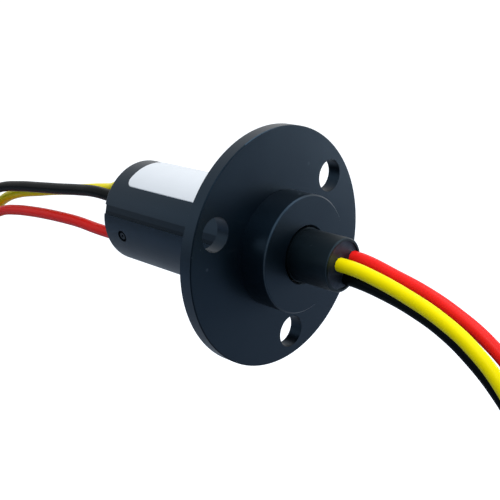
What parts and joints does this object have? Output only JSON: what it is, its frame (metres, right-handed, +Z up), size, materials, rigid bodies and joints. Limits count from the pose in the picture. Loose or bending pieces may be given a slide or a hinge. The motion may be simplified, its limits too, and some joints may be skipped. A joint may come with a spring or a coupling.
{
  "type": "slip ring",
  "caption": "Capsule slip ring with a round mounting flange: a stub-ended rotor turns on ball bearings in a moulded barrel, and leads leave both ends.",
  "frame": {"origin": "centre of the mounting flange's barrel-side face, on the spin axis", "axes": "+X along the spin axis towards the rotor's stub, +Z up, +Y to the left of someone who looks along +X"},
  "size_m": [0.2254, 0.0446, 0.0699],
  "materials": {
    "housing": "satin dark blue-grey moulding",
    "moulded_black": "satin black moulding",
    "rotor_black": "satin near-black moulding",
    "screw_black": "black oxide",
    "label": "smooth white film, blank",
    "bearing_steel": "ground and polished",
    "cage_brass": "pressed brass",
    "gold_plate": "bright gold plate",
    "circuit_board": "green solder mask",
    "sealing_compound": "dull cast resin",
    "barrier": "matt ivory moulding",
    "lead_red": "smooth insulation",
    "lead_yellow": "smooth insulation",
    "lead_black": "smooth insulation",
    "lead_mixed": "red, yellow and black insulation",
    "tinned_wire": "tinned copper strands",
    "tie": "natural nylon"
  },
  "bodies": {
    "stator": {"stator_housing": "housing", "rear_cover": "moulded_black", "cover_screws": "screw_black", "blank_label": "label", "front_bearing_outer": "bearing_steel", "rear_bearing_outer": "bearing_steel", "brush_board": "circuit_board", "brush_set_1": "gold_plate", "brush_set_2": "gold_plate", "brush_set_3": "gold_plate", "stator_inner_leads": "lead_mixed", "stator_lead_seal": "sealing_compound", "stator_lead_red": "lead_red", "stator_lead_yellow": "lead_yellow", "stator_lead_black": "lead_black", "stator_lead_coil": "lead_mixed", "stator_coil_tie": "tie", "stator_lead_tips": "tinned_wire"},
    "rotor": {"rotor_shaft": "rotor_black", "shaft_clip": "bearing_steel", "rotor_inner_leads": "lead_mixed", "rotor_lead_seal": "sealing_compound", "collector_ring_1": "gold_plate", "collector_ring_2": "gold_plate", "collector_ring_3": "gold_plate", "ring_barrier_1": "barrier", "ring_barrier_2": "barrier", "ring_barrier_3": "barrier", "ring_barrier_4": "barrier", "front_bearing_inner": "bearing_steel", "rear_bearing_inner": "bearing_steel", "rotor_lead_red": "lead_red", "rotor_lead_yellow": "lead_yellow", "rotor_lead_black": "lead_black", "rotor_lead_coil": "lead_mixed", "rotor_coil_tie": "tie", "rotor_lead_tips": "tinned_wire"},
    "front_ball_set": {"front_bearing_balls": "bearing_steel", "front_bearing_cage": "cage_brass"},
    "rear_ball_set": {"rear_bearing_balls": "bearing_steel", "rear_bearing_cage": "cage_brass"}
  },
  "joints": [
    {"name": "rotor_spin", "type": "hinge", "parent": "stator", "child": "rotor", "pos_m": [0, 0, 0], "axis": [1, 0, 0], "continuous": true},
    {"name": "front_balls_roll", "type": "hinge", "parent": "stator", "child": "front_ball_set", "pos_m": [0.0045, 0, 0], "axis": [1, 0, 0], "continuous": true},
    {"name": "rear_balls_roll", "type": "hinge", "parent": "stator", "child": "rear_ball_set", "pos_m": [-0.0303, 0, 0], "axis": [1, 0, 0], "continuous": true}
  ],
  "couplings": [
    {"joint": "front_balls_roll", "follows": "rotor_spin", "ratio": 0.436},
    {"joint": "rear_balls_roll", "follows": "rotor_spin", "ratio": 0.377}
  ]
}
